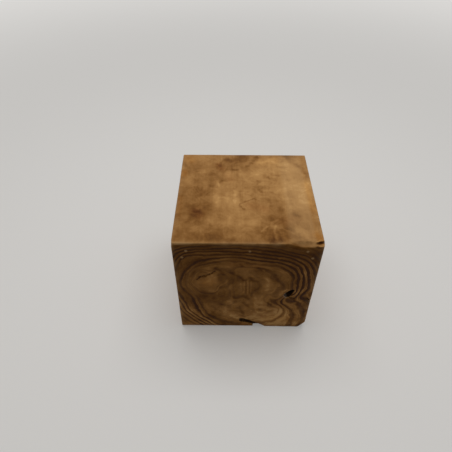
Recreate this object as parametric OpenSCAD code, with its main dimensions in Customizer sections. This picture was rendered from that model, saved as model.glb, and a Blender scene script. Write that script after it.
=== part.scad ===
// Wooden cube: a stool or side table squared in one piece from a large fluted log.
// The trunk lay front to back, so the front (-Y) and back faces are end grain.
// The origin is the middle of the underside. Places on the front are given from its
// middle line, to the right, and up from the base. What the log lost is cut out of the cube:
// a bark pocket with its seams, a root notch in the base, wane on the top arris and worn corners.

/* [Block] */
// Edge length of the cube
side = 450; // [430:5:500]
// Radius of the eased arrises
arris_r = 4; // [2:0.5:6]

/* [Bark pocket] */
// Distance of the pocket right of the middle
pocket_x = 148; // [130:1:150]
// Height of the pocket above the base
pocket_z = 207; // [190:1:240]
// How far the pocket runs into the block
pocket_depth = 85; // [30:1:120]
// How far the pocket climbs to the right on its way in
pocket_climb = 14; // [0:1:20]

/* [Bark seams and heart check] */
// Width of the seams where the two lobes of the trunk meet
seam_w = 6; // [3:0.5:8]
// Depth of the seams
seam_depth = 14; // [5:1:20]
// Width of the heart check
check_w = 4; // [2:0.5:5]
// Depth of the heart check
check_depth = 18; // [8:1:30]

/* [Root notch] */
// Height of the notch above the base at its left end
notch_h = 56; // [48:1:60]
// Width of the notch along the base
notch_w = 96; // [88:1:105]
// How far the notch runs into the block
notch_depth = 16; // [14:1:30]
// Height of the lip that is left below the notch
lip_h = 29; // [24:1:32]
// Width of the lip
lip_w = 50; // [44:1:52]

/* [Worn arrises] */
// Drop of the wane at the right end of the top front arris
wane_drop = 17; // [10:1:22]
// Reach of the wane back over the top
wane_reach = 15; // [8:1:24]
// Height of the broken corner at the front bottom right
corner_h = 38; // [20:1:50]
// Reach of the broken corner back along the base
corner_reach = 70; // [30:1:120]
// Height of the wear on the front bottom arris, left of the notch
wear_h = 6; // [5:0.5:9]

/* [Hidden] */

half = side / 2;
proud = 3;                  // how far each cutter stands out of the face it cuts
curve_steps = 4;            // points on a smoothed outline from one given point to the next

// Outline of the pocket round its own middle
pocket_mouth = [
    [-18, -10], [-17, -1], [-13, 5], [-6, 12], [3, 20], [11, 23],
    [15, 17], [13, 7], [10, -2], [6, -12], [1, -21], [-7, -23], [-14, -19]
];
// Outline of the notch from its left wall over the top to the base
notch_x = -14;
notch_mouth = [
    [notch_x, lip_h + 3], [notch_x - 1, notch_h - 6], [notch_x + 4, notch_h],
    [notch_x + 20, notch_h - 4], [notch_x + 50, notch_h * 0.62],
    [notch_x + notch_w * 0.84, notch_h * 0.24], [notch_x + notch_w, -1],
    [notch_x + notch_w, -12], [notch_x + lip_w + 4, -12], [notch_x + lip_w, 2],
    [notch_x + lip_w - 4, lip_h - 13], [notch_x + lip_w * 0.55, lip_h - 3]
];
notch_heart = [notch_x + lip_w + 4, lip_h - 5];

seam_below_pocket = [[153, 187], [162, 182], [168, 176], [172, 169]];
seam_to_side = [[200, 183], [211, 178], [219, 170], [half + proud, 161]];
heart_check = [[-157, 274], [-141, 296], [-122, 302], [-108, 314], [-90, 325]];

wane_mouth = [
    [209, side + 8], [203, side - wane_drop * 0.5], [188, side - wane_drop * 0.85],
    [170, side - wane_drop], [148, side - wane_drop * 0.8], [122, side - 4], [118, side + 8]
];
wane_heart = [166, side + 8];
corner_pocket_mouth = [
    [half + 9, side + 8], [half + 9, side - 4], [221, side - 10], [211, side - 12],
    [203, side - 7], [200, side + 8]
];
corner_pocket_heart = [half + 4, side + 8];
broken_corner_mouth = [
    [half + 8, -8], [half - 29, -8], [half - 18, corner_h * 0.25], [half - 9, corner_h * 0.6],
    [half - 1, corner_h - 4], [half + 8, corner_h + 6]
];
broken_corner_heart = [half + 8, -8];

// Point between b and c of a smooth curve through a, b, c and d
function curve_point(a, b, c, d, t) =
    0.5 * (2 * b + (c - a) * t + (2 * a - 5 * b + 4 * c - d) * t * t
           + (3 * b - a - 3 * c + d) * t * t * t);

// Closed smooth outline through the given points
function smooth(points) =
    let (n = len(points))
    [for (i = [0:n - 1], j = [0:curve_steps - 1])
        curve_point(points[(i + n - 1) % n], points[i], points[(i + 1) % n],
                    points[(i + 2) % n], j / curve_steps)];

// Unit vector square to the path at point i
function path_normal(path, i) =
    let (d = path[min(i + 1, len(path) - 1)] - path[max(i - 1, 0)])
    [-d.y, d.x] / norm(d);

// Leaf-shaped outline: a path given a width that runs out at both ends
function leaf(path, width) =
    let (last = len(path) - 1)
    concat(
        [for (i = [0:last]) path[i] + path_normal(path, i) * width * leaf_share(i, last)],
        [for (i = [last:-1:0]) path[i] - path_normal(path, i) * width * leaf_share(i, last)]
    );
function leaf_share(i, last) = 0.5 * (0.12 + 0.88 * sin(180 * (i + 0.5) / (last + 1)));

// An outline shrunk towards a point and moved on
function shrunk(outline, heart, share, move = [0, 0]) =
    [for (p = outline) heart + (p - heart) * share + move];

// An outline of the front, stood up at depth y behind it
function stood_up(outline, depth) = [for (p = outline) [p.x, depth - half, p.y]];

// Closed solid through rings that have the same number of points
module loft(rings) {
    n = len(rings[0]);
    last = len(rings) - 1;
    walls = [for (k = [0:last - 1], i = [0:n - 1])
        let (j = (i + 1) % n)
        each [[k * n + i, (k + 1) * n + j, k * n + j],
              [k * n + i, (k + 1) * n + i, (k + 1) * n + j]]];
    polyhedron(
        points = [for (ring = rings) each ring],
        faces = concat(walls, [[for (i = [0:n - 1]) i]], [[for (i = [n - 1:-1:0]) last * n + i]])
    );
}

// A hollow that narrows from its mouth on the front to a rounded end
module hollow(mouth, heart, depth, move = [0, 0], rings = 6, end_share = 0.25) {
    outline = smooth(mouth);
    loft(concat(
        [stood_up(outline, -proud)],
        [for (k = [0:rings])
            let (t = k / rings)
            stood_up(shrunk(outline, heart, end_share + (1 - end_share) * sqrt(1 - t * t),
                            move * t), depth * t)]
    ));
}

// A groove that closes to an edge along a path
module groove(path, width, depth) {
    loft([
        stood_up(leaf(path, width * 1.2), -proud),
        stood_up(leaf(path, width), 0),
        stood_up(leaf(path, width * 0.6), depth * 0.5),
        stood_up(leaf(path, width * 0.12), depth)
    ]);
}

// Square of the block's width with rounded corners
module eased_square() {
    core = side - 2 * arris_r;
    square([side, core], center = true);
    square([core, side], center = true);
    for (x = [-1, 1], y = [-1, 1])
        translate([x, y] * core / 2) circle(arris_r, $fn = 48);
}

// The sawn cube, its twelve arrises eased by three crossing prisms
module sawn_cube() {
    translate([0, 0, half]) intersection() {
        linear_extrude(side, center = true) eased_square();
        rotate([90, 0, 0]) linear_extrude(side, center = true) eased_square();
        rotate([0, 90, 0]) linear_extrude(side, center = true) eased_square();
    }
}

// Wear on the front bottom arris, from the left corner to the end of the lip
module bottom_wear() {
    length = half + notch_x + lip_w + proud;
    translate([notch_x + lip_w - length / 2, -half, 0])
        rotate([45, 0, 0])
            cube([length, wear_h * sqrt(2), wear_h * sqrt(2)], center = true);
}

module bark_pocket() {
    translate([pocket_x, 0, pocket_z])
        hollow(pocket_mouth, [0, 0], pocket_depth, [pocket_climb, pocket_climb / 2]);
    groove(seam_below_pocket, seam_w, seam_depth);
    groove(seam_to_side, seam_w, seam_depth);
}

module root_notch() {
    hollow(notch_mouth, notch_heart, notch_depth);
}

module top_wane() {
    hollow(wane_mouth, wane_heart, wane_reach, rings = 4);
    hollow(corner_pocket_mouth, corner_pocket_heart, wane_reach, rings = 4);
}

module broken_corner() {
    hollow(broken_corner_mouth, broken_corner_heart, corner_reach, rings = 4);
}

// The whole block: one solid, in the golden brown of its top
module block() {
    color([0.62, 0.46, 0.29]) difference() {
        sawn_cube();
        bark_pocket();
        groove(heart_check, check_w, check_depth);
        root_notch();
        top_wane();
        broken_corner();
        bottom_wear();
    }
}

block();
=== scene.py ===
import bpy
import numpy as np
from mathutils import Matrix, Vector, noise


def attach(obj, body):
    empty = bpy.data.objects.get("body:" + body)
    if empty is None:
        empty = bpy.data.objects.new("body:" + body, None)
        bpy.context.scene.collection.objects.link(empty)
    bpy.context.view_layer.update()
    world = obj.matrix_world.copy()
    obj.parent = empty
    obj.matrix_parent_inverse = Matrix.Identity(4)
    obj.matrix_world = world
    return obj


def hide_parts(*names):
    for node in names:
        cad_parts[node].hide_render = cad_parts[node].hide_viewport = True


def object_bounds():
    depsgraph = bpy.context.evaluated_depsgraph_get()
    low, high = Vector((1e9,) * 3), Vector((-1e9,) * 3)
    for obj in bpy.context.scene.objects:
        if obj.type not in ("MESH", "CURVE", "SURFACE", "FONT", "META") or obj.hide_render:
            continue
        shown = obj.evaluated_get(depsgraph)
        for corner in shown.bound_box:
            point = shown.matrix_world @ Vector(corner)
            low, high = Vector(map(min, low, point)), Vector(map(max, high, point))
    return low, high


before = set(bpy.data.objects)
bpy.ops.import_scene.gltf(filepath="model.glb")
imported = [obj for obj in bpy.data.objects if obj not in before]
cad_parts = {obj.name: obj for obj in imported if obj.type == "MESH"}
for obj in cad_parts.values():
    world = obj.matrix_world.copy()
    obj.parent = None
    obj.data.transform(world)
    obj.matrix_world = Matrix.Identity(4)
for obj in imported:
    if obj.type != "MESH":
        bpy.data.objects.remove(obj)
cad_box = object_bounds()


# The log's year rings, as the dressed front shows them. Each dark ring has a number that grows
# towards the bark, and its bends in mm: right of the middle of the front, and up from the base.
# The trunk had lobes, and at the bark pocket the rings of the lower right lobe turn back.
year_rings = [
    (-6, [(4, 240), (6, 256)]),
    (-4, [(-150, 262), (-142, 288), (-122, 298), (-100, 288), (-94, 262), (-104, 238), (-126, 230),
          (-144, 242)]),
    (-4, [(-20, 250), (-6, 280), (15, 288), (36, 274), (47, 250), (40, 228), (22, 205), (-4, 205)]),
    (-2, [(-82, 240), (-105, 210), (-140, 208), (-164, 232), (-172, 265), (-166, 300), (-152, 322),
          (-128, 334), (-99, 336), (-75, 330), (-50, 334), (-20, 342), (15, 340), (50, 332),
          (75, 323), (93, 305), (103, 278), (120, 260), (123, 238), (118, 212), (106, 188)]),
    (-1, [(-132, 92), (-142, 122), (-150, 155), (-165, 195), (-184, 228), (-192, 258), (-188, 288),
          (-180, 312), (-166, 333), (-145, 350), (-112, 362), (-60, 372), (-20, 369), (13, 362),
          (40, 355), (75, 351), (105, 344), (127, 330), (145, 310), (151, 280), (150, 250)]),
    (0, [(-100, 25), (-122, 48), (-142, 70), (-156, 98), (-165, 133), (-172, 165), (-184, 200),
         (-202, 228), (-210, 255), (-206, 281), (-199, 303), (-185, 330), (-166, 352), (-139, 373),
         (-105, 382), (-57, 389), (-12, 386), (22, 379), (60, 373), (97, 367), (125, 353),
         (152, 333), (164, 308), (168, 270), (171, 240), (168, 210)]),
    (1, [(-108, 10), (-129, 33), (-155, 60), (-175, 83), (-192, 110), (-200, 142), (-212, 178),
         (-224, 210)]),
    (1, [(-222, 325), (-212, 352), (-200, 378), (-174, 396), (-139, 399), (-95, 399), (-40, 402),
         (10, 397), (60, 388), (97, 381), (125, 373), (150, 358), (168, 338), (178, 314),
         (187, 275), (187, 240), (180, 212), (172, 190), (160, 178)]),
    (2, [(-118, 4), (-145, 28), (-170, 56), (-192, 85), (-206, 115), (-216, 150), (-228, 180)]),
    (2, [(-226, 348), (-212, 380), (-192, 402), (-160, 412), (-125, 415), (-60, 415), (-24, 411),
         (20, 411), (75, 400), (120, 391), (150, 377), (176, 356), (192, 324), (200, 283),
         (206, 250), (200, 218), (188, 190), (196, 180), (221, 162)]),
    (3, [(-140, 4), (-165, 28), (-190, 58), (-210, 90), (-226, 120)]),
    (3, [(-228, 380), (-205, 410), (-165, 422), (-110, 426), (-60, 430), (0, 426), (60, 420),
         (105, 409), (148, 394), (180, 380), (198, 356), (214, 321), (224, 290)]),
    (4, [(-160, 2), (-188, 28), (-222, 72)]),
    (4, [(-228, 402), (-200, 426), (-120, 440), (0, 440), (80, 430), (123, 416), (162, 405),
         (187, 390), (206, 370), (222, 340)]),
    (5, [(-185, 2), (-222, 38)]),
    (5, [(-120, 452), (0, 452), (100, 440), (165, 420), (205, 396), (226, 366)]),
    (1, [(141, 176), (152, 164), (178, 157), (197, 134), (206, 104), (211, 70), (209, 35), (198, 6)]),
    (0, [(128, 172), (125, 150), (146, 134), (162, 110), (172, 80), (176, 52), (170, 20), (160, 2)]),
    (-1, [(88, 175), (102, 156), (120, 139), (136, 118), (138, 92), (129, 68), (108, 48), (84, 38)]),
    (-2, [(76, 150), (92, 134), (112, 120), (118, 98), (108, 80), (84, 74), (60, 84)]),
]
# The places between them are worked out as on a thin plate that is held, with a little slack,
# at points along the rings. The plate is measured in units of 100 mm.
held_gap = 9.0
plate_unit = 100
slack = 0.004
hair = 1e-9
places_at_once = 8000


def curved(bends, gap):
    """Points about a gap apart on a smooth line through the bends."""
    ends = [bends[0], *bends, bends[-1]]
    points = []
    for before, start, end, after in zip(ends, ends[1:], ends[2:], ends[3:]):
        before, start, end, after = (np.array(p, float) for p in (before, start, end, after))
        steps = max(1, int(np.linalg.norm(end - start) / gap))
        for t in np.arange(steps) / steps:
            points.append(0.5 * (2 * start + (end - before) * t
                                 + (2 * before - 5 * start + 4 * end - after) * t ** 2
                                 + (3 * start - before - 3 * end + after) * t ** 3))
    return points + [np.array(bends[-1], float)]


def plate(apart):
    """How a thin plate bends at a distance from where it is held."""
    return apart ** 2 * np.log(apart + hair)


held = np.array([p for _, bends in year_rings for p in curved(bends, held_gap)]) / plate_unit
numbers = np.array([n for n, bends in year_rings for _ in curved(bends, held_gap)], float)
flat = np.column_stack([np.ones(len(held)), held])
bend = plate(np.linalg.norm(held[:, None] - held[None], axis=2)) + slack * np.eye(len(held))
weights = np.linalg.solve(np.block([[bend, flat], [flat.T, np.zeros((3, 3))]]),
                          np.concatenate([numbers, np.zeros(3)]))


def ring_number(places):
    """Number of the year ring, with its fraction, at places given in mm on the front."""
    found = []
    for part in np.array_split(places / plate_unit, max(1, len(places) // places_at_once)):
        apart = np.linalg.norm(part[:, None] - held[None], axis=2)
        found.append(plate(apart) @ weights[:-3] + weights[-3] + part @ weights[-2:])
    return np.concatenate(found)


# The block's skin: the sawn solid with small even faces, their sizes in metres, finest in front
# and on top. Hand sanding has rounded its arrises unevenly, the hollows are rough, and the soft
# wood between the rings has worn a little below the hard wood.
skin_gap = 0.0016
figured_gap = 0.0028
plain_gap = 0.0064
figured_band = 0.02
side_band = 0.003
weld_gap = 0.00001
lowest, highest = np.array(cad_box)
bpy.ops.object.select_all(action="DESELECT")
block = bpy.data.objects.new("log_block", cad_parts["block"].data.copy())
bpy.context.scene.collection.objects.link(block)
bpy.context.view_layer.objects.active = block
block.select_set(True)
block.data.materials.clear()
bpy.ops.object.mode_set(mode="EDIT")
bpy.ops.mesh.select_all(action="SELECT")
bpy.ops.mesh.remove_doubles(threshold=weld_gap)
bpy.ops.object.mode_set(mode="OBJECT")
skin = block.modifiers.new("even_skin", "REMESH")
skin.mode = "VOXEL"
skin.voxel_size = skin_gap
bpy.ops.object.modifier_apply(modifier=skin.name)


def read(field):
    """The places or normals of the skin's points."""
    values = np.empty(len(block.data.vertices) * 3)
    block.data.vertices.foreach_get(field, values)
    return values.reshape(-1, 3)


def rise(values, low, high):
    """0 at low and 1 at high, with a smooth rise between them."""
    t = np.clip((values - low) / (high - low), 0, 1)
    return t * t * (3 - 2 * t)


def wander(places, lump):
    """Smooth noise from about -1 to 1 at the places, its lumps about that far across."""
    return np.array([noise.noise(p) for p in (places / lump).tolist()])


def edit_points(chosen):
    """Goes into edit mode with only the chosen points of the skin selected."""
    bpy.ops.object.mode_set(mode="EDIT")
    bpy.ops.mesh.select_all(action="DESELECT")
    bpy.ops.object.mode_set(mode="OBJECT")
    block.data.vertices.foreach_set("select", chosen)
    bpy.ops.object.mode_set(mode="EDIT")


def thin_out(chosen, gap):
    """Collapses the skin's faces at the chosen points until they lie about a gap apart."""
    edit_points(chosen)
    bpy.ops.mesh.decimate(ratio=(skin_gap / gap) ** 2)
    bpy.ops.object.mode_set(mode="OBJECT")


def shows_figure(places):
    """Whether places lie at the front or the top, whose figure is the finest."""
    return (places[:, 1] < lowest[1] + figured_band) | (places[:, 2] > highest[2] - figured_band)


place = read("co")
on_side = (np.abs(place - lowest) < side_band) | (np.abs(place - highest) < side_band)
thin_out(~shows_figure(place) & on_side.any(axis=1), plain_gap)
thin_out(shows_figure(read("co")), figured_gap)

# The waney right end of the top front arris, inside this box, was rubbed smooth by hands
wane_low = (0.110, -np.inf, 0.430)
wane_high = (0.201, -0.204, np.inf)
rubs = 40
place = read("co")
edit_points(((place > wane_low) & (place < wane_high)).all(axis=1))
bpy.ops.mesh.vertices_smooth(factor=0.5, repeat=rubs)
bpy.ops.object.mode_set(mode="OBJECT")

# Where each point of the skin lies, in mm, and which kind of wood it shows. A point is on a
# face when it looks squarely enough out of it, and inside when it is deep in a hollow.
low_mm, high_mm = lowest * 1000, highest * 1000
squarely = (0.45, 0.8)
hollow_depths = (2.0, 5.0)
wane_base = 400
place = np.clip(read("co") * 1000, low_mm, high_mm)
outward = read("normal")
x, y, z = place.T
from_sides = np.minimum(place - low_mm, high_mm - place)
inside = rise(from_sides.min(axis=1), *hollow_depths)
faces_end = rise(np.abs(outward[:, 1]), *squarely)
end_grain = np.maximum(faces_end, inside * (z < wane_base))
in_front = rise(-y, 150, 200)
on_top = rise(outward[:, 2], *squarely) * rise(z, 425, 435)

# The trunk leans and swells a little along its length, so the rings drift from front to back.
# Their small waves are about three times as long along the trunk as across it.
lean_right, lean_up = -16, 10
swelling = 14
along = (y - low_mm[1]) / (high_mm[1] - low_mm[1])
swell = np.column_stack([x, 0.35 * y, z])
drift_x = lean_right * along + swelling * wander(swell, 140) * rise(along, 0, 0.3)
drift_z = lean_up * along + swelling * wander(swell + 500, 120) * rise(along, 0, 0.3)
ring = ring_number(np.column_stack([x + drift_x, z + drift_z]))
lengthwise = np.column_stack([x, low_mm[1] + 0.3 * (y - low_mm[1]), z])
ring += 0.16 * wander(lengthwise, 28) + 0.10 * wander(lengthwise + 300, 9)
ring += 1.3 * wander(lengthwise + 400, 34) * rise(-ring, 1.2, 3.0)

# The figure that the rings alone don't give: soft strokes of darker and lighter wood on the
# front, and painted shade in the small corner pocket at the right end of the top front arris,
# in mm right of the middle and up from the base. Each has its shade, from -1 for the darkest
# wood to 1 for the lightest, the half width where it has faded, and its bends.
front_strokes = [
    (-0.50, 44, [(-225, 425), (-60, 425), (100, 415), (215, 395)]),
    (-0.35, 30, [(60, 385), (130, 375), (160, 330), (168, 260)]),
    (-0.40, 34, [(222, 410), (218, 250), (224, 120)]),
    (-0.30, 26, [(-222, 400), (-222, 250), (-200, 190), (-165, 140)]),
    (-0.20, 36, [(-205, 385), (-150, 360)]),
    (-0.30, 12, [(-206, 281), (-199, 303), (-185, 330), (-166, 352), (-139, 371), (-105, 380)]),
    (0.30, 34, [(-140, 268), (-112, 262)]),
    (0.15, 30, [(-70, 345), (0, 330)]),
    (0.20, 22, [(118, 310), (132, 280)]),
    (-0.20, 25, [(-60, 290), (-30, 285)]),
    (-0.25, 28, [(-150, 190), (-60, 205)]),
    (0.55, 62, [(60, 60), (140, 65)]),
    (0.35, 30, [(45, 165), (62, 130), (112, 95)]),
    (0.45, 34, [(-75, 95), (-30, 75), (20, 64)]),
    (0.18, 90, [(-110, 260), (60, 250)]),
    (0.30, 36, [(-120, 120), (-95, 110)]),
    (0.35, 20, [(-215, 14), (-110, 24)]),
    (0.30, 16, [(80, 22), (185, 24)]),
    (-0.25, 26, [(108, 185), (112, 160)]),
    (-0.50, 15, [(-80, 30), (-45, 26)]),
    (-0.30, 12, [(-70, 12), (-16, 12)]),
    (-0.25, 20, [(-120, 60), (-92, 42)]),
    (-1.30, 3.2, [(-155, 280), (-149, 288), (-144, 297), (-132, 300), (-125, 301), (-115, 308),
                  (-105, 316), (-98, 323)]),
    (-0.90, 5.5, [(-146, 294), (-128, 299)]),
    (-0.80, 4, [(151, 187), (160, 181), (167, 174), (170, 166)]),
    (-0.35, 11, [(158, 158), (172, 148)]),
    # Painted shade in the small corner pocket at the right end of the top front arris
    (-1.50, 4, [(203, 447), (214, 446), (223, 442)]),
    (-0.60, 7, [(212, 443), (223, 440)]),
    (-0.80, 5, [(198, 183), (210, 178), (218, 170), (226, 162)]),
    (-0.55, 7, [(-49, 316), (-32, 303), (-15, 291), (-7, 278)]),
    (-0.45, 9, [(13, 290), (17, 284)]),
    (-0.45, 7, [(22, 278), (37, 273), (44, 261), (47, 248), (42, 234), (34, 226)]),
    (-0.30, 6, [(24, 225), (22, 190)]),
    (-0.45, 6, [(110, 343), (118, 335), (127, 330), (137, 323), (145, 313), (148, 305)]),
    (-0.30, 7, [(75, 323), (93, 305), (103, 278), (113, 268), (122, 255), (123, 236)]),
    (-0.40, 6, [(37, 340), (47, 331)]),
    (-0.35, 6, [(-19, 358), (-12, 348)]),
    (-0.30, 6, [(1, 363), (13, 356)]),
    (-0.30, 6, [(-95, 366), (-82, 365)]),
    (-0.40, 6, [(-99, 338), (-87, 331), (-75, 318), (-70, 306)]),
    (-0.40, 6, [(-174, 295), (-165, 313), (-160, 321)]),
    (-0.30, 10, [(-84, 300), (-82, 280)]),
    (-0.25, 9, [(-82, 243), (-80, 238)]),
    (-0.30, 9, [(-142, 214), (-125, 205), (-113, 203)]),
    (-0.50, 8, [(-5, 192), (3, 186), (12, 177)]),
    (-0.45, 7, [(-39, 190), (-34, 182)]),
    (-0.30, 7, [(-30, 165), (-30, 160)]),
    (-0.45, 8, [(-3, 155), (6, 144), (13, 133)]),
    (-0.40, 8, [(-81, 145), (-77, 141)]),
    (-0.25, 8, [(-105, 183), (-105, 177)]),
    (-0.35, 7, [(-111, 93), (-107, 91)]),
    (-0.45, 6, [(-15, 127), (-10, 107), (-4, 90), (1, 82)]),
    (-0.35, 5, [(82, 160), (82, 133)]),
    (-0.30, 4, [(92, 165), (92, 140)]),
    (-0.40, 7, [(78, 103), (97, 104)]),
    (-0.35, 8, [(50, 114), (56, 112)]),
    (-0.35, 5, [(-125, 73), (-115, 60), (-109, 52)]),
    (-0.35, 5, [(-109, 70), (-100, 63)]),
    (-0.50, 7, [(-155, 18), (-149, 12)]),
    (-0.50, 7, [(-137, 18), (-130, 12)]),
    (-0.40, 7, [(-209, 38), (-205, 36)]),
    (-0.50, 5, [(90, 4), (190, 4)]),
    (-0.45, 9, [(184, 200), (187, 184)]),
    (-0.40, 6, [(202, 163), (210, 155), (222, 140)]),
    (0.30, 9, [(58, 293), (68, 286), (75, 276)]),
    (0.35, 11, [(69, 285), (71, 253), (70, 225)]),
    (0.30, 3, [(-14, 262), (-12, 222)]),
    (0.35, 3, [(-4, 275), (-4, 212)]),
    (0.35, 3, [(7, 278), (8, 205)]),
    (0.30, 3, [(17, 272), (19, 212)]),
    (-0.30, 3, [(2, 278), (2, 208)]),
    (-0.30, 3, [(12, 276), (14, 208)]),
    (0.30, 8, [(34, 358), (42, 357)]),
    (0.30, 12, [(-167, 205), (-167, 195)]),
    (0.25, 9, [(-116, 220), (-104, 220)]),
    (0.30, 7, [(-62, 278), (-61, 253)]),
    (0.30, 7, [(-47, 258), (-52, 233)]),
    (0.40, 8, [(13, 160), (13, 150)]),
    (0.20, 6, [(30, 207), (33, 190), (37, 180)]),
    (0.40, 12, [(-50, 166), (-42, 150)]),
    (0.30, 18, [(-35, 90), (-34, 76)]),
    (0.50, 11, [(-55, 24), (-35, 24)]),
    (0.40, 10, [(2, 22), (14, 24)]),
    (0.35, 12, [(165, 22), (175, 20)]),
    (0.30, 16, [(-118, 138), (-105, 136)]),
    (0.30, 14, [(-178, 125), (-180, 105)]),
    (0.30, 16, [(112, 120), (113, 98)]),
    (-0.30, 14, [(-30, 45), (-20, 42)]),
    (-0.25, 16, [(80, 212), (90, 208)]),
    (0.35, 16, [(-112, 302), (-100, 296)]),
    (-0.32, 22, [(-38, 258), (-20, 235), (20, 228), (60, 232)]),
    (0.35, 16, [(2, 306), (20, 300)]),
    (0.25, 14, [(-62, 125), (-68, 80)]),
    (0.25, 16, [(-110, 45), (-85, 30)]),
    (0.30, 14, [(72, 85), (85, 80)]),
    (0.30, 12, [(142, 130), (145, 100)]),
    (-0.20, 16, [(110, 355), (145, 335)]),
    (-0.20, 18, [(20, 142), (30, 136)]),
    (0.30, 26, [(-60, 135), (-20, 140), (5, 130)]),
    (0.45, 24, [(-45, 70), (-25, 62)]),
    (0.40, 24, [(25, 105), (35, 92)]),
    (0.40, 26, [(45, 148), (62, 152)]),
    (0.25, 22, [(70, 235), (100, 200)]),
    (0.30, 30, [(60, 55), (120, 42)]),
    (0.50, 16, [(192, 30), (205, 40)]),
    (0.40, 14, [(196, 145), (206, 115)]),
    (0.35, 20, [(-205, 100), (-170, 60)]),
    (-0.50, 20, [(-102, 88), (-95, 78)]),
    (-0.25, 30, [(-125, 190), (-110, 180)]),
    (-0.30, 16, [(-180, 365), (-130, 368)]),
    (-0.30, 18, [(40, 325), (60, 300)]),
    (-0.25, 16, [(158, 310), (164, 270)]),
    (0.25, 20, [(-145, 410), (-120, 395)]),
    (0.30, 12, [(-40, 429), (0, 428)]),
    (0.45, 8, [(-44, 75), (-32, 64), (-22, 58)]),
    (0.30, 10, [(-64, 122), (-60, 118)]),
    (0.45, 6, [(127, 115), (130, 98), (123, 83), (115, 75)]),
    (0.25, 6, [(147, 86), (147, 78)]),
    (0.55, 6, [(117, 204), (122, 220), (139, 229)]),
    (0.45, 5, [(165, 222), (168, 206)]),
    (0.30, 16, [(85, 205), (108, 195)]),
    (0.40, 7, [(172, 182), (178, 168), (195, 154)]),
    (0.30, 9, [(208, 196), (216, 186)]),
    (0.35, 4, [(37, 417), (47, 423), (57, 418)]),
    (-0.35, 4, [(43, 416), (50, 416)]),
    (0.35, 4, [(79, 385), (88, 380), (98, 383)]),
    (-0.35, 4, [(84, 387), (91, 386)]),
]
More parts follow.
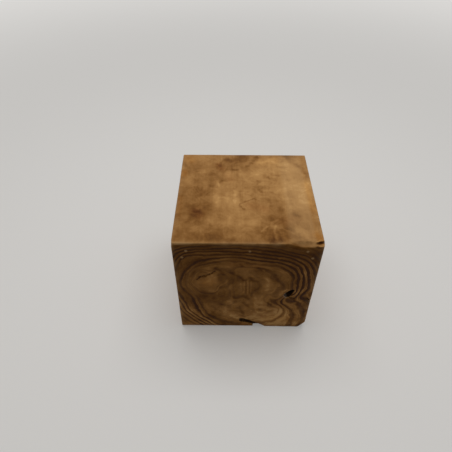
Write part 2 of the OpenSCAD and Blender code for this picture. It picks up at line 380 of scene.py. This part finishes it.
# The same for the top, in mm right of the middle and behind it: a soft cloudy figure where
# the saw ran nearly level with the rings, a small knot near the front arris, and painted
# light and shade that make the top lighter right of the middle and darker towards the left.
top_strokes = [
    (-0.20, 60, [(-165, 150), (-160, 0), (-150, -120)]),
    (-0.35, 26, [(-222, 0), (-222, -120)]),
    (-0.45, 40, [(-205, -190), (-110, -205), (-40, -215)]),
    (-0.30, 34, [(-95, -185), (0, -215), (80, -215)]),
    (-0.40, 34, [(45, -165), (95, -185), (150, -200)]),
    (-0.22, 30, [(50, -130), (100, -135), (150, -110)]),
    (-0.28, 36, [(-70, 160), (-20, 175), (-10, 210)]),
    (-0.35, 24, [(-30, 222), (40, 222)]),
    (-0.30, 20, [(120, 224), (200, 218)]),
    # Painted light: the top lighter right of the middle
    (0.35, 42, [(150, 60), (180, 30), (215, 40)]),
    (0.25, 32, [(175, -20), (180, -65)]),
    (0.25, 36, [(40, 100), (60, 60)]),
    (0.25, 28, [(110, 175), (130, 150)]),
    (0.20, 30, [(-35, -60), (-30, -110)]),
    (-0.30, 17, [(-166, -76), (-158, -84)]),
    (-0.20, 44, [(-175, -50), (-150, -105)]),
    (-0.16, 30, [(-160, -92), (-146, -100), (-128, -75)]),
    (-0.35, 18, [(-168, -112), (-185, -132)]),
    (-0.35, 22, [(-128, -45), (-118, -66)]),
    (-0.45, 16, [(-150, -5), (-110, 12)]),
    (-0.25, 24, [(-155, 22), (-115, 32)]),
    (-0.20, 12, [(-116, 44), (-110, 42)]),
    (0.35, 26, [(-195, 75), (-170, 100)]),
    (0.25, 26, [(-150, 35), (-190, 60)]),
    (0.25, 24, [(-162, 195), (-150, 205)]),
    (0.30, 18, [(-92, 170), (-95, 190)]),
    (0.25, 16, [(-45, 190), (-42, 205)]),
    (0.35, 24, [(30, 195), (10, 165)]),
    (0.35, 22, [(115, 15), (140, 25)]),
    (0.25, 24, [(70, 120), (105, 98)]),
    (0.25, 22, [(175, 185), (200, 195)]),
    (0.25, 14, [(205, 145), (205, 105)]),
    (0.45, 22, [(-60, -200), (-35, -195)]),
    (0.25, 20, [(-10, -205), (20, -200)]),
    (0.35, 16, [(30, -125), (32, -140)]),
    (-0.35, 24, [(85, -75), (110, -85)]),
    (-0.25, 22, [(-80, -105), (-80, -140)]),
    (-0.25, 20, [(-130, -140), (-120, -150)]),
    (-0.30, 24, [(140, -145), (185, -155)]),
    (-0.40, 18, [(75, -212), (100, -212)]),
    (-0.30, 16, [(-168, 120), (-165, 60)]),
    (-0.25, 34, [(-120, 70), (-105, 95)]),
    (-0.40, 9, [(-86, 62), (-76, 65)]),
    (-0.45, 18, [(-95, 158), (-85, 148), (-78, 125)]),
    (-0.40, 28, [(-60, 190), (-15, 200), (15, 190)]),
    (-0.40, 13, [(-62, 187), (-50, 185)]),
    (-0.55, 11, [(46, 208), (34, 182), (10, 152)]),
    (-0.50, 8, [(-45, 133), (-26, 130)]),
    (-0.25, 13, [(0, 142), (4, 138)]),
    (-0.50, 19, [(155, 212), (170, 190)]),
    (-0.40, 10, [(185, 165), (200, 140), (210, 110), (216, 92)]),
    (-0.25, 9, [(132, 178), (138, 190)]),
    (-0.30, 9, [(125, 150), (140, 145)]),
    (-0.40, 8, [(90, 110), (96, 100)]),
    (-0.45, 8, [(80, 88), (86, 83)]),
    (-0.40, 7, [(108, 100), (115, 99)]),
    (-0.35, 8, [(100, 80), (101, 74)]),
    (-0.45, 10, [(40, 65), (44, 61)]),
    (-0.35, 15, [(45, 27), (57, 33)]),
    (-0.25, 8, [(52, 14), (50, 8)]),
    (-0.25, 10, [(142, 76), (148, 74)]),
    (-0.30, 8, [(85, 65), (86, 58)]),
    (-0.35, 5, [(83, 8), (87, 7)]),
    (-0.50, 3.5, [(34, -31), (28, -24), (12, -31), (-8, -44)]),
    (-0.50, 3.5, [(-18, -50), (-20, -60), (-12, -70), (-5, -75)]),
    (-0.25, 8, [(-18, 15), (-18, -20), (-16, -48)]),
    (-0.15, 26, [(16, -58), (20, -56)]),
    (-0.25, 11, [(68, -25), (75, -40)]),
    (-0.25, 14, [(105, -48), (112, -75), (100, -95)]),
    (-0.45, 12, [(146, -92), (160, -108)]),
    (-0.25, 14, [(85, -110), (60, -112)]),
    (-0.35, 9, [(76, -127), (72, -120)]),
    (-0.30, 20, [(110, -130), (128, -160)]),
    (-0.25, 16, [(120, -165), (150, -190)]),
    (-0.15, 4, [(62, -163), (52, -180), (44, -200)]),
    (-0.15, 4, [(70, -168), (64, -185), (60, -208)]),
    (-0.15, 4, [(78, -166), (76, -190), (74, -212)]),
    (-0.15, 4, [(90, -166), (94, -190), (96, -212)]),
    (-0.20, 5, [(100, -160), (112, -180), (122, -200)]),
    (-0.20, 18, [(30, -182), (15, -190)]),
    (-0.20, 22, [(0, -215), (60, -215)]),
    (0.50, 7, [(84, -160), (88, -152)]),
    (0.30, 6, [(75, -150), (78, -140)]),
    (0.30, 5, [(60, -156), (44, -170)]),
    (0.25, 4, [(84, -166), (85, -200)]),
    (0.30, 8, [(-62, 0), (-60, -45)]),
    (0.30, 8, [(-35, 15), (-37, -45)]),
    (0.30, 11, [(-97, -10), (-97, -45)]),
    (0.25, 12, [(-58, 115), (-55, 95)]),
    (0.25, 10, [(-15, 105), (0, 85), (12, 62)]),
    (0.40, 6, [(-92, 68), (-91, 40)]),
    (0.30, 14, [(-152, 112), (-130, 118)]),
    (0.25, 10, [(128, 40), (130, -10), (136, -55), (140, -90)]),
    (0.35, 30, [(60, 180), (90, 190)]),
    (0.25, 30, [(150, 150), (175, 120)]),
    (0.20, 26, [(-100, 10), (-85, -50)]),
    (0.25, 22, [(-120, -130), (-60, -140)]),
    (0.28, 3.5, [(90, -154), (118, -168), (150, -192)]),
    (0.22, 3.5, [(78, -153), (58, -158), (40, -174)]),
    (0.25, 20, [(45, 110), (60, 130)]),
    (0.25, 24, [(160, 160), (165, 130)]),
    (0.25, 26, [(190, 20), (195, -20)]),
    (0.25, 14, [(180, -38), (200, -45)]),
    (0.35, 15, [(150, -170), (168, -186)]),
    (0.20, 16, [(-162, -163), (-140, -180)]),
    (0.20, 10, [(-115, -125), (-110, -140)]),
    (0.20, 12, [(15, -130), (20, -142)]),
    (0.15, 55, [(-20, -20), (30, 0)]),
    # Painted shade: the top darker towards the left side
    (-0.15, 45, [(-205, 150), (-205, -110)]),
]
# Where the top is golden, above 0, or purplish, below 0, and the tan lip of the root notch
top_warmth = [
    (0.5, 22, [(205, 50), (212, -80)]),
    (0.8, 18, [(-212, 120), (-212, 100)]),
    (0.8, 22, [(205, -190), (215, -200)]),
    (0.5, 26, [(-205, 200), (-190, 180)]),
    (0.5, 16, [(-215, -20), (-215, -110)]),
    (0.3, 40, [(60, 180), (110, 190)]),
    (-0.7, 20, [(-92, 158), (-82, 135)]),
    (-0.8, 24, [(-160, -85), (-150, -105)]),
    (-0.5, 30, [(15, -58), (60, -75)]),
    (-0.4, 30, [(110, -130), (150, -120)]),
    (-0.4, 24, [(-60, 100), (-50, 70)]),
]
front_warmth = [
    (0.9, 14, [(-4, 20), (10, 14)]),
    (0.5, 40, [(-132, 262), (-112, 268)]),
    (0.4, 40, [(90, 60), (160, 60)]),
    (-0.4, 30, [(-40, 360), (40, 350)]),
]
# Where the rings of the front stand out more, above 0, or less, below 0
ring_contrast = [
    (0.45, 38, [(80, 385), (130, 362), (168, 300), (176, 230)]),
    (-0.40, 48, [(-150, 405), (-60, 405), (10, 405)]),
    (0.35, 26, [(200, 330), (205, 240), (195, 190)]),
    (-0.30, 22, [(203, 130), (208, 40)]),
    (-0.35, 26, [(172, 90), (174, 40)]),
    (-0.50, 16, [(150, 180), (164, 172)]),
    (-0.55, 40, [(-180, 345), (-208, 270), (-180, 190)]),
    (0.20, 40, [(-195, 120), (-140, 45)]),
    (-0.50, 26, [(-90, 25), (-20, 30)]),
]


def brushed(across, up, strokes):
    """How much lighter or darker soft strokes make points that lie so far across and up."""
    total = np.zeros(len(across))
    spots = np.column_stack([across, up])
    for shade, half_width, bends in strokes:
        nearest = np.full(len(spots), np.inf)
        for start, end in zip(bends, bends[1:]):
            way = np.subtract(end, start)
            share = np.clip((spots - start) @ way / (way @ way), 0, 1)
            off = spots - start - share[:, None] * way
            nearest = np.minimum(nearest, np.hypot(off[:, 0], off[:, 1]))
        total += shade * np.exp(-1.6 * (nearest / half_width) ** 2)
    return total


# The strokes waver, more on the top than on the front. The hidden faces get clouds of noise.
adrift, astray = (2.5 * wander(place + start, 22) + 2 * wander(place + start + 60, 9)
                  for start in (0, 200))
front_waver, top_waver = 0.7, 2.0
front_share = end_grain * in_front
shade = front_share * brushed(x + front_waver * adrift, z + front_waver * astray, front_strokes)
shade += on_top * brushed(x + top_waver * adrift, y + top_waver * astray, top_strokes)
elsewhere = 1 - np.maximum(front_share, on_top)
shade += elsewhere * (0.35 * wander(swell, 110) + 0.2 * wander(swell + 900, 45))
warmth = on_top * brushed(x, y, top_warmth) + front_share * brushed(x, z, front_warmth)
warmth += elsewhere * 0.5 * wander(place + 700, 160)

# How plainly the rings show, from those at the heart to those at the bark
plainness = {-4: 0.04, -2.5: 0.18, -1.2: 0.36, -0.4: 0.75, 0: 1.10, 0.5: 0.9, 1: 0.8, 2: 1.0,
             3: 0.85, 4: 0.6, 4.8: 0.15}
ring_show = np.interp(ring, list(plainness), list(plainness.values()))
ring_show *= 1 + 0.45 * wander(place + 1200, 55)
ring_show *= 1 + front_share * brushed(x, z, ring_contrast)
ring_show *= 1 - 0.9 * on_top

# Hand wear, all of it inwards: the arrises are rounded unevenly, most at the left end of the
# top front arris, the hollows are rough bark and broken wood, and the end grain has low ridges.
arris_reach = 5.5
worst_wear, worst_reach = 3.5, 9
rough_depths = (1.6, 0.7)
ridge_height = 0.28
closest = np.sort(from_sides, axis=1)
from_arris = closest[:, 0] + closest[:, 1]
near_arris = np.exp(-from_arris / arris_reach)
top_front = rise(z, 430, 446) * rise(-y, 205, 222)
wear = near_arris * (0.7 + 0.9 * np.clip(wander(place + 2000, 60) + 0.2, 0, 1))
wear += worst_wear * top_front * rise(-x, 110, 200) * np.exp(-from_arris / worst_reach)
rough = inside * rise(-y, 100, 140) * rise(430 - z, 0, 10)
wear += rough * (rough_depths[0] * wander(place + 40, 11) + rough_depths[1] * wander(place + 90, 4))
from_ring = np.abs((ring + 0.5) % 1 - 0.5)
wear += ridge_height * (1 - inside) * faces_end * ring_show * rise(from_ring, 0.08, 0.3)
place = np.clip(place - outward * wear[:, None], low_mm, high_mm)
block.data.vertices.foreach_set("co", (place / 1000).ravel())
block.data.update()
bpy.ops.object.shade_smooth()

# Where bark or broken wood shows in the hollows, and painted shade in the root notch under
# the front, darker deeper in.
# A grey patch is painted light, where the floor in the mouth of the bark pocket is lit.
in_notch = (x > -18) & (x < 86) & (z > 1) & (z < 58) & (y < -195)
# Dark bark in the hollows; in the root notch, painted shade from 4 mm behind the front, full by 11 mm
hollow = np.maximum(rough, in_notch * rise(y, -221, -214))
grit = [(1.0, 5, [(133, 196), (138, 189)])]

# Where the finish is worn pale: on the arrises, along the top front one, and over the wane,
# which shows no rings. A thin pale line along the top front arris adds a painted highlight to
# the wear there.
worn = np.clip(1.5 * near_arris * (0.5 + 0.8 * wander(place + 2600, 25)), 0, 1)
worn = np.maximum(worn, top_front * rise(-x, 110, 190) * rise(wear, 0.8, 2.2))
# Painted highlight: a thin pale line along the top front arris, where the rounded arris catches the
# light
arris_highlight = np.exp(-(from_arris / 4) ** 2) * rise(z, 440, 446) * rise(-y, 215, 220)
worn = np.maximum(worn, arris_highlight * rise(-x, -150, -90) * (0.8 + 0.5 * wander(place + 2700, 18)))
wane_drop = 15 * rise(x, 118, 162) * rise(-x, -214, -196)
wane_edge = high_mm[2] - wane_drop + 1.5 * wander(place + 3000, 14)
wane = rise(z, wane_edge - 3, wane_edge + 3) * rise(x, 108, 138) * rise(-x, -206, -196)
skin_values = {
    "ring": ring,
    "ring_show": ring_show,
    "shade": shade,
    "warmth": warmth,
    "flat_sawn": on_top,
    "end_grain": end_grain * (1 - wane),
    "hollow": hollow,
    "grit": brushed(x, z, grit) * rise(-y, 190, 212),
    "worn": np.maximum(worn, 0.45 * wane),
}
for name, values in skin_values.items():
    field = block.data.attributes.new(name, "FLOAT", "POINT")
    field.data.foreach_set("value", values.astype(np.float32))


# The wood's finish: thin satin oil over dressed wood. Year rings show as dark bands on the
# end grain, with pores, and as faint clouds and fibres that run front to back elsewhere.
class Grain:
    """A value, colour or vector of the wood. Arithmetic on values adds Math nodes."""
    tree = None

    def __init__(self, socket):
        self.socket = socket

    @classmethod
    def node(cls, kind, settings, sockets, output=0):
        """Adds a node. A ramp's colours are spaced evenly, and an end node gives nothing back."""
        made = cls.tree.nodes.new(kind)
        for name, value in settings.items():
            if name == "colours":
                stops = made.color_ramp.elements
                for position in np.linspace(0, 1, len(value))[1:-1]:
                    stops.new(position)
                for stop, colour in zip(stops, value):
                    stop.color = colour
            else:
                setattr(made, name, value)
        for name, value in sockets.items():
            if isinstance(value, Grain):
                cls.tree.links.new(value.socket, made.inputs[name])
            else:
                made.inputs[name].default_value = value
        return cls(made.outputs[output]) if made.outputs else None

    @classmethod
    def maths(cls, operation, *values):
        """Adds a Math node on values."""
        return cls.node("ShaderNodeMath", {"operation": operation}, dict(enumerate(values)))

    def __add__(self, other):
        return self.maths("ADD", self, other)

    def __sub__(self, other):
        return self.maths("SUBTRACT", self, other)

    def __rsub__(self, other):
        return self.maths("SUBTRACT", other, self)

    def __mul__(self, other):
        return self.maths("MULTIPLY", self, other)

    __radd__ = __add__
    __rmul__ = __mul__

    def between(self, low, high):
        """0 at low and 1 at high, with a smooth rise between them."""
        return self.node("ShaderNodeMapRange", {"interpolation_type": "SMOOTHSTEP"},
                         {"Value": self, "From Min": low, "From Max": high})

    def from_band(self):
        """How far a count of bands is from the middle of the band it is in, from 0 to 0.5."""
        return self.maths("ABSOLUTE", self.maths("FRACT", self) - 0.5)

    def coated(self, coat, share, way="MIX"):
        """This colour with another laid over it, by a share."""
        return self.node("ShaderNodeMix", {"data_type": "RGBA", "blend_type": way},
                         {0: share, 6: self, 7: coat}, output=2)


def seen(red, green, blue):
    """A colour as a screen shows it, 0 to 255, in the values that light needs."""
    return tuple((c / 255) ** 2.2 for c in (red, green, blue)) + (1.0,)


def on_skin(name):
    """A value that the skin carries at its points."""
    return Grain.node("ShaderNodeAttribute", {"attribute_name": name}, {}, output=2)


def lumps(where, scale, detail=2.0, roughness=0.5, **more):
    """Noise from 0 to 1 with that many lumps to the metre. It changes with W too, if given."""
    return Grain.node("ShaderNodeTexNoise", {"noise_dimensions": "4D" if "W" in more else "3D"}, {
        "Vector": where, "Scale": scale, "Detail": detail, "Roughness": roughness, **more})


def start_finish(owner):
    """Clears the nodes of a material or the world, and adds the next nodes there."""
    owner.use_nodes = True
    Grain.tree = owner.node_tree
    Grain.tree.nodes.clear()


wood = bpy.data.materials.new("oiled_log_wood")
start_finish(wood)
spot = Grain.node("ShaderNodeTexCoord", {}, {}, output="Object")


def drawn_out(share):
    """Places in the block, with distances from front to back cut down to a share."""
    return Grain.node("ShaderNodeVectorMath", {"operation": "MULTIPLY"},
                      {0: spot, 1: (1.0, share, 1.0)})


# End grain: hard dark rings, fine lines between them, pores, and flames that follow the rings
# except inside the heart
heart_ring = -2.6
end_grain_here = on_skin("end_grain")
rings_show = on_skin("ring_show")
mottle = lumps(spot, 60, 4, 0.6) - 0.5
ring_here = on_skin("ring") + 0.20 * (lumps(spot, 130, 3) - 0.5)
hard_wood = 1 - (ring_here + 0.5).from_band().between(0.08, 0.33)
fine_lines = 1 - (4 * ring_here + 0.3).from_band().between(0.08, 0.38)
pores = lumps(spot, 1500, 1).between(0.62, 0.72)
flames = lumps(spot, 20, 5, 0.62, W=0.11 * Grain.maths("MAXIMUM", ring_here, heart_ring)) - 0.5
end_shade = (on_skin("shade") + rings_show * (0.42 - 1.15 * hard_wood - 0.30 * fine_lines)
             + 0.40 * mottle + 2.1 * flames - 0.16 * pores)
end_colour = Grain.node("ShaderNodeValToRGB", {"colours": [
    seen(52, 26, 3), seen(77, 47, 15), seen(102, 68, 31), seen(132, 93, 50),
    seen(168, 128, 80)]}, {0: 0.5 + 0.5 * end_shade})

# Long grain: fibres, streaks and dashes along the trunk, swirls and curls where it is cut
# nearly level with the rings, and faint growth lines. The sides show more of the streaks.
side = 1 - on_skin("flat_sawn")
fibres = lumps(drawn_out(0.05), 900, 3, 0.6) - 0.5
streaks = lumps(drawn_out(0.05), 120, 3, 0.5) - 0.5
dashes = lumps(drawn_out(0.05), 1400, 1).between(0.63, 0.70)
swirls = lumps(spot, 15, 6, 0.62, Distortion=1.1) - 0.5
curls = lumps(spot, 36, 3, 0.5, Distortion=1.6) - 0.5
waves = lumps(drawn_out(0.22), 7, 1, 0.4, Distortion=0.7)
growth_lines = (20 * waves + 1.2 * swirls + 0.5 * fibres).from_band().between(0.05, 0.40) - 0.5
growth_shows = lumps(spot, 9, 2).between(0.42, 0.66)
long_shade = (on_skin("shade") + (0.24 + 0.20 * side) * fibres + (0.34 + 0.75 * side) * streaks
              + (1.2 - 0.7 * side) * swirls + (0.6 - 0.3 * side) * curls
              + side * rings_show * (0.12 - 0.50 * hard_wood) - 0.10 * dashes
              + 0.07 * growth_lines * growth_shows)
long_colour = Grain.node("ShaderNodeValToRGB", {"colours": [
    seen(82, 49, 20), seen(121, 82, 42), seen(153, 111, 65), seen(180, 136, 84),
    seen(214, 170, 114)]}, {0: 0.5 + 0.5 * long_shade})

# Over both: golden and purplish parts, worn pale wood with a painted highlight along the top
# front arris, dark bark in the hollows with painted shade deeper in the root notch, and a
# painted patch of light in the mouth of the bark pocket
golden = (1.10, 0.98, 0.72, 1)
purplish = (0.99, 0.88, 0.84, 1)
# Pale worn wood, also the colour of the painted highlight along the top front arris
worn_and_lit_pale = seen(182, 146, 102)
# Dark bark, and painted shade deeper in the root notch
dark_bark_and_shade = seen(52, 38, 28)
# Grey painted light for the lit floor in the mouth of the bark pocket
lit_pocket_grey = seen(158, 146, 138)
warmth_here = on_skin("warmth")
worn_and_lit_here = on_skin("worn") * (0.75 + 0.5 * mottle)
crumbs = lumps(spot, 90, 4, 0.7)
colour = long_colour.coated(end_colour, end_grain_here)
colour = colour.coated(golden, warmth_here.between(0, 1), "MULTIPLY")
colour = colour.coated(purplish, (0 - warmth_here).between(0, 1), "MULTIPLY")
# Pale where the finish is worn, and a painted highlight along the top front arris
colour = colour.coated(worn_and_lit_pale, 0.65 * worn_and_lit_here)
# Dark bark in the hollows, and painted shade deeper in the root notch
colour = colour.coated(dark_bark_and_shade, on_skin("hollow") * crumbs.between(0.2, 0.5))
# Painted light on the lit floor in the mouth of the bark pocket
colour = colour.coated(lit_pocket_grey, on_skin("grit") * crumbs.between(0.35, 0.6))

# Five old nail holes in the front, filled flush with pale filler. Each is given in mm right of
# the middle and up from the base, and the distance to the nearest is in metres.
nail_holes = [(-182, 417), (-196, 388), (7, 417), (178, 418), (197, 388)]
hole_radius = 0.0044
filler = seen(160, 130, 92)
filler_shows = 0.45
to_hole = 1.0
for across, up in nail_holes:
    apart = Grain.node("ShaderNodeVectorMath", {"operation": "DISTANCE"},
                       {0: drawn_out(0.0), 1: (across / 1000, 0.0, up / 1000)}, output="Value")
    to_hole = Grain.maths("MINIMUM", apart, to_hole)
to_hole += 0.003 * mottle
depth = Grain.node("ShaderNodeSeparateXYZ", {}, {0: spot}, output="Y")
filled = (1 - to_hole.between(0.8 * hole_radius, 1.25 * hole_radius)) * (1 - depth.between(-0.2, 0))
colour = colour.coated(filler, filler_shows * filled)

gloss = 0.50 + 0.16 * mottle + 0.10 * (1 - hard_wood) * end_grain_here + 0.35 * on_skin("hollow")
ridges = (0.5 * end_grain_here * (hard_wood - 1.2 * pores)
          + (1 - end_grain_here) * (0.6 * fibres - 0.9 * dashes) + 0.3 * mottle)
bump = Grain.node("ShaderNodeBump", {}, {"Height": ridges, "Strength": 0.35, "Distance": 0.0004})
oiled = Grain.node("ShaderNodeBsdfPrincipled", {}, {
    "Base Color": colour, "Roughness": gloss, "Normal": bump, "Specular IOR Level": 0.09,
    "Specular Tint": (1.0, 0.75, 0.45, 1.0)})
Grain.node("ShaderNodeOutputMaterial", {}, {"Surface": oiled})
block.data.materials.append(wood)
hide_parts("block")
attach(block, "root")


# The studio: a plain pale floor, a pale sky, one wide soft lamp overhead and a little behind,
# and the camera where the photograph was taken from. Rays that show the floor and sky to the
# camera, also by way of gloss or glass, find them paler than the light that they give.
def shows():
    """1 for a ray that shows a surface to the camera, and 0 for any other."""
    straight, by_gloss, by_glass = (
        Grain.node("ShaderNodeLightPath", {}, {}, output=kind)
        for kind in ("Is Camera Ray", "Is Glossy Ray", "Is Transmission Ray"))
    return Grain.maths("MAXIMUM", Grain.maths("MAXIMUM", straight, by_gloss), by_glass)


bpy.ops.object.select_all(action="DESELECT")
bpy.ops.mesh.primitive_plane_add(size=40)
floor = bpy.context.object
floor.name = "studio_floor"
paint = bpy.data.materials.new("pale_floor")
start_finish(paint)
matt = Grain.node("ShaderNodeBsdfPrincipled", {}, {
    "Base Color": seen(222, 220, 217), "Roughness": 0.9, "Specular IOR Level": 0.1})
glow = Grain.node("ShaderNodeEmission", {}, {"Color": seen(226, 224, 221), "Strength": 1.0})
from_block = Grain.node("ShaderNodeVectorMath", {"operation": "LENGTH"}, {
    0: Grain.node("ShaderNodeTexCoord", {}, {}, output="Object")}, output="Value")
glow_share = shows() * (0.22 + 0.70 * from_block.between(0.9, 5.5))
laid = Grain.node("ShaderNodeMixShader", {}, {0: glow_share, 1: matt, 2: glow})
Grain.node("ShaderNodeOutputMaterial", {}, {"Surface": laid})
floor.data.materials.append(paint)

bpy.ops.object.light_add(type="AREA", location=(0, 0.5, 3.0), rotation=(-0.12, 0, 0))
lamp = bpy.context.object
lamp.name = "overhead_softbox"
lamp.data.shape = "RECTANGLE"
lamp.data.size = 2.6
lamp.data.size_y = 1.6
lamp.data.energy = 44

sky_level = 0.42
sky = bpy.data.worlds.new("pale_studio")
bpy.context.scene.world = sky
start_finish(sky)
background = Grain.node("ShaderNodeBackground", {}, {
    "Color": seen(238, 237, 235), "Strength": sky_level + (1 - sky_level) * shows()})
Grain.node("ShaderNodeOutputWorld", {}, {"Surface": background})

camera_place = (-0.05909, -0.99561, 1.28510)
camera_turn = np.radians((45.2835, -0.1425, 0.4780))
bpy.ops.object.camera_add(location=camera_place, rotation=camera_turn)
camera = bpy.context.object
camera.data.sensor_width = 36
camera.data.lens = 31.297
bpy.context.scene.camera = camera
bpy.context.scene.view_settings.view_transform = "Standard"
